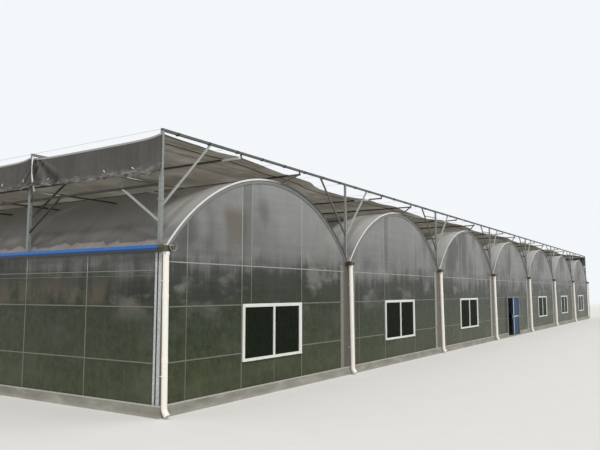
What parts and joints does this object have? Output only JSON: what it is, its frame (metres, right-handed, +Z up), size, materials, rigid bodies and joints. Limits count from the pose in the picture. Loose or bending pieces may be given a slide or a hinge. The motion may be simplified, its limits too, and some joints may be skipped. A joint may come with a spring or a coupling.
{
  "type": "polycarbonate greenhouse, 1:2 scale model",
  "caption": "Gutter-connected arched polycarbonate greenhouse with a sliding door, windows and a flat outside shade net on a steel frame, as a half-size model.",
  "frame": {"origin": "on the ground at the centre of the footprint", "axes": "+X along the door facade towards its right end, +Y into the building from the door facade, +Z up"},
  "size_m": [24.626, 8.2692, 2.6008],
  "materials": {
    "kerb_concrete": "cast, weathered",
    "galvanised_frame": "galvanised, dull",
    "gutter_steel": "galvanised, stained",
    "roof_polycarbonate": "twin wall, dusty",
    "wall_polycarbonate": "twin wall, fine ribs",
    "arch_aluminium": "mill",
    "corner_aluminium": "mill",
    "blue_strip": "satin",
    "white_frame": "satin",
    "window_glass": "clear",
    "blue_door": "satin",
    "white_pipe": "satin, aged",
    "shade_steel": "galvanised",
    "shade_cloth": "knitted net"
  },
  "bodies": {
    "greenhouse": {"kerb_front": "kerb_concrete", "kerb_back": "kerb_concrete", "kerb_left": "kerb_concrete", "kerb_right": "kerb_concrete", "door_threshold": "kerb_concrete", "front_columns": "galvanised_frame", "back_columns": "galvanised_frame", "left_columns": "galvanised_frame", "right_columns": "galvanised_frame", "inner_columns": "galvanised_frame", "gutters": "gutter_steel", "roof_sheets": "roof_polycarbonate", "roof_trusses": "galvanised_frame", "roof_purlins": "galvanised_frame", "front_gable_arches": "arch_aluminium", "back_gable_arches": "arch_aluminium", "front_sheets": "wall_polycarbonate", "back_sheets": "wall_polycarbonate", "left_sheets": "wall_polycarbonate", "right_sheets": "wall_polycarbonate", "front_gable_frames": "galvanised_frame", "back_gable_frames": "galvanised_frame", "left_side_frame": "galvanised_frame", "right_side_frame": "galvanised_frame", "corner_angles": "corner_aluminium", "left_eave_strip": "blue_strip", "right_eave_strip": "blue_strip", "front_window_frames": "white_frame", "back_window_frames": "white_frame", "front_window_glass": "window_glass", "back_window_glass": "window_glass", "door_frame": "white_frame", "front_downpipes": "white_pipe", "back_downpipes": "white_pipe", "shade_posts": "shade_steel", "shade_beams": "shade_steel", "front_shade_braces": "shade_steel", "back_shade_braces": "shade_steel", "inner_shade_braces": "shade_steel", "shade_lower_tubes": "shade_steel", "shade_knee_braces": "shade_steel", "shade_side_ties": "shade_steel", "shade_upper_tubes": "shade_steel", "shade_tube_hangers": "shade_steel", "shade_net": "shade_cloth", "left_valance": "shade_cloth", "right_valance": "shade_cloth"},
    "door_right": {"door_leaf_right": "blue_door"},
    "door_left": {"door_leaf_left": "blue_door"}
  },
  "joints": [
    {"name": "right_leaf_slide", "type": "slide", "parent": "greenhouse", "child": "door_right", "axis": [1, 0, 0], "range_m": [-0.5237, 0]},
    {"name": "left_leaf_slide", "type": "slide", "parent": "greenhouse", "child": "door_left", "axis": [1, 0, 0], "range_m": [-0.4787, 0.045]}
  ]
}
